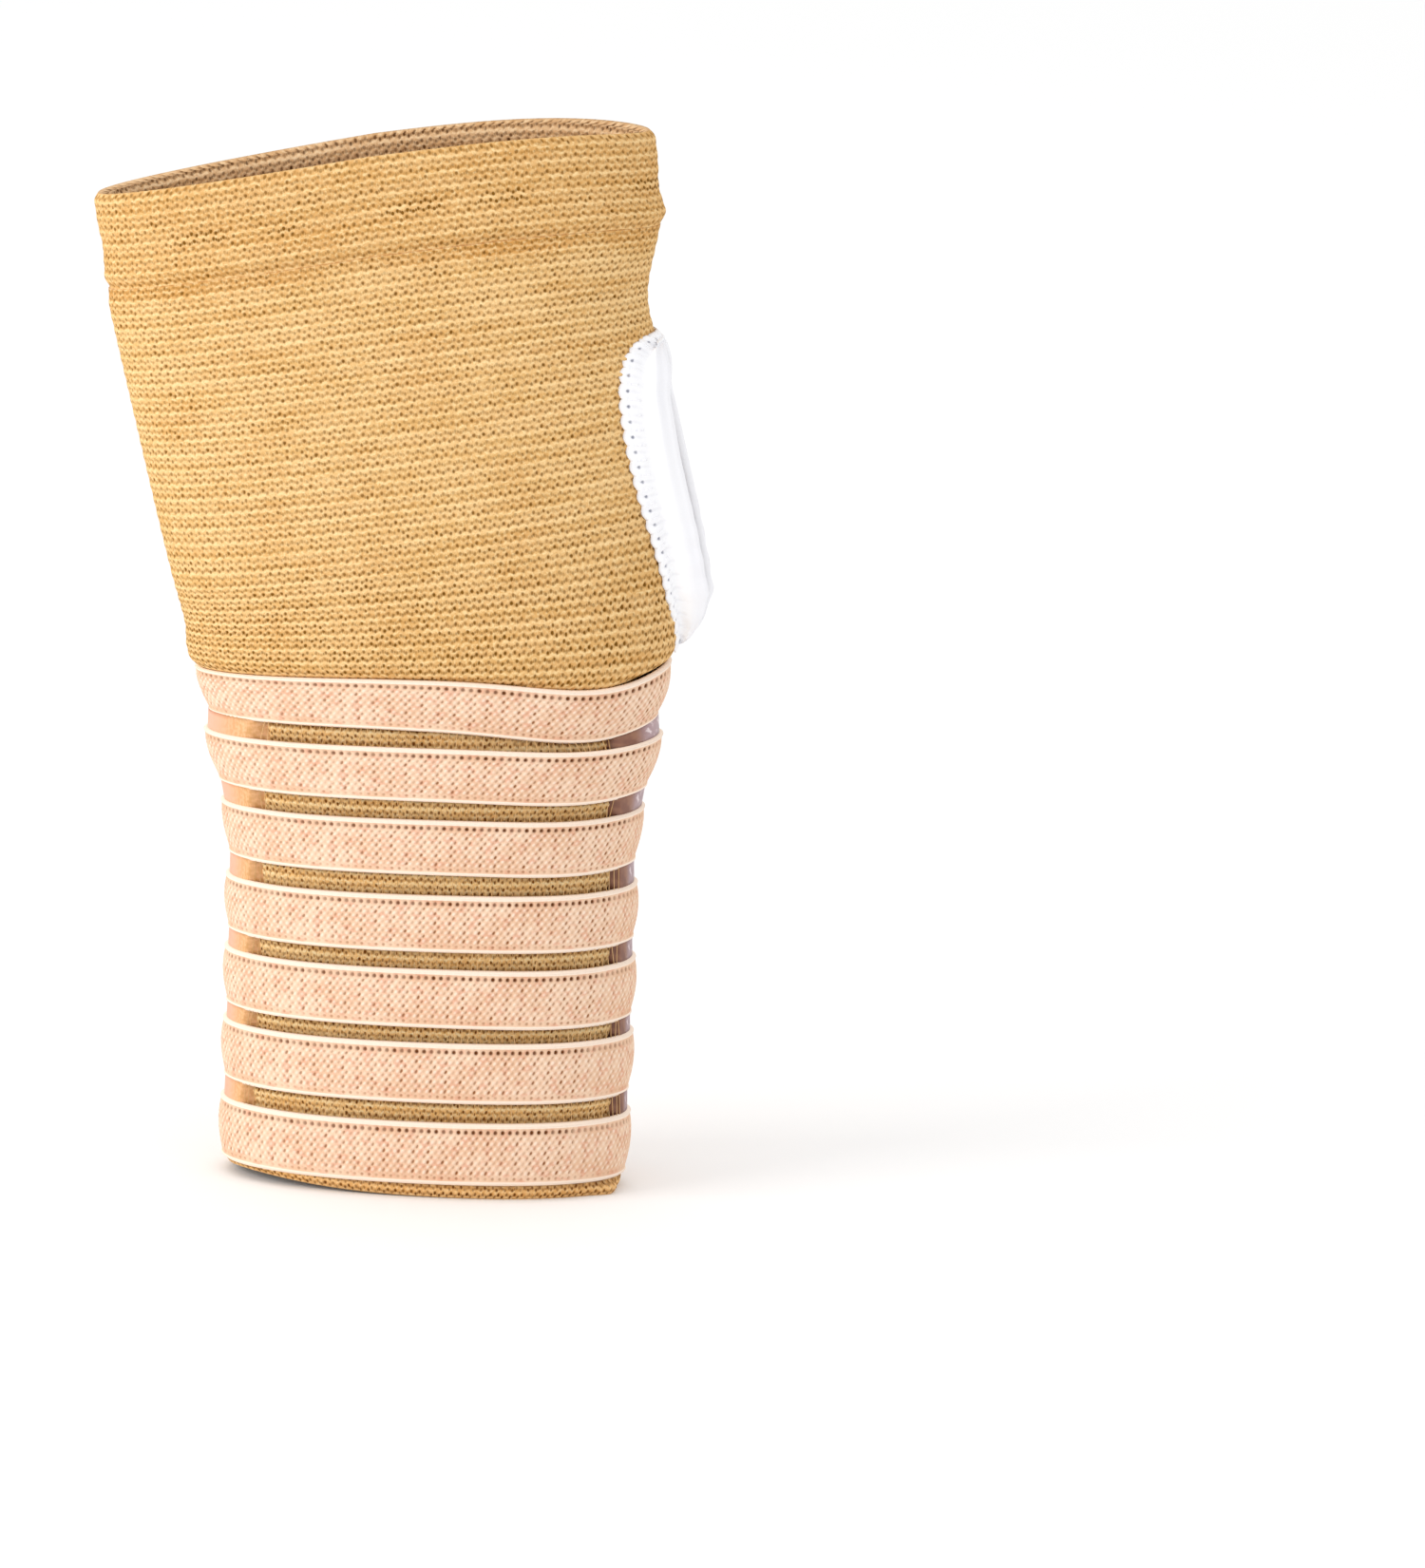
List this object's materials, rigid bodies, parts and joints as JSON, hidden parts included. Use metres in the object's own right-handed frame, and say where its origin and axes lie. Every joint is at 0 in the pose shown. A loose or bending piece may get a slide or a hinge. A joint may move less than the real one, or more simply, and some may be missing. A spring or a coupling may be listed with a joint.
{
  "type": "elastic wrist support",
  "caption": "Fingerless elastic knit wrist and palm sleeve with a thumb opening and a ribbed ladder-elastic compression wrap that closes with a hook-and-loop tab.",
  "frame": {"origin": "centre of the part's box, at the height of the wrist-end hem that it stands on", "axes": "+Z from the wrist end to the fingers, +X towards the thumb, -Y the plain face, +Y the face with the closure"},
  "size_m": [0.1086, 0.044, 0.185],
  "materials": {
    "knit": "matte rib knit",
    "knit_inside": "matte rib knit, reverse side",
    "woven_elastic": "woven elastic with chevron ribs",
    "clear_filament": "clear nylon monofilament",
    "white_elastic": "ribbed elastic binding",
    "white_thread": "overlock thread",
    "seam_thread": "overlock thread",
    "tape_thread": "sewing thread",
    "binding_tape": "folded woven tape",
    "loop_pile": "brushed loop pile",
    "hook_tape": "moulded nylon hooks on woven tape"
  },
  "bodies": {
    "wrist": {"wrist_sleeve": "knit", "wrist_hem": "knit", "wrist_seam": "seam_thread", "wrist_crease": "knit", "wrap_rib_1": "woven_elastic", "wrap_rib_2": "woven_elastic", "wrap_rib_3": "woven_elastic", "wrap_rib_4": "woven_elastic", "wrap_rib_5": "woven_elastic", "wrap_rib_6": "woven_elastic", "wrap_rib_7": "woven_elastic", "clear_gap_1": "clear_filament", "clear_gap_2": "clear_filament", "clear_gap_3": "clear_filament", "clear_gap_4": "clear_filament", "clear_gap_5": "clear_filament", "clear_gap_6": "clear_filament", "start_binding": "binding_tape", "loop_strip": "loop_pile"},
    "hand": {"hand_sleeve": "knit", "palm_seam": "seam_thread", "finger_welt": "knit", "welt_lining": "knit_inside", "welt_stitching": "seam_thread", "thumb_binding": "white_elastic", "thumb_stitching": "white_thread"},
    "closure_tab": {"end_ribs": "woven_elastic", "end_gaps": "clear_filament", "end_binding": "binding_tape", "hook_strip": "hook_tape", "binding_stitching": "tape_thread"}
  },
  "joints": [
    {"name": "wrist_flex", "type": "hinge", "parent": "wrist", "child": "hand", "pos_m": [0.00711, -0.00168, 0.09217], "axis": [0.9968, 0, 0.0804], "range_deg": [-18, 18], "stiffness_Nm_per_rad": 0.05, "deforming": ["wrist_crease"]},
    {"name": "closure_peel", "type": "hinge", "parent": "wrist", "child": "closure_tab", "pos_m": [-0.00583, 0.02122, 0.0465], "axis": [0, 0, 1], "range_deg": [0, 120]}
  ]
}
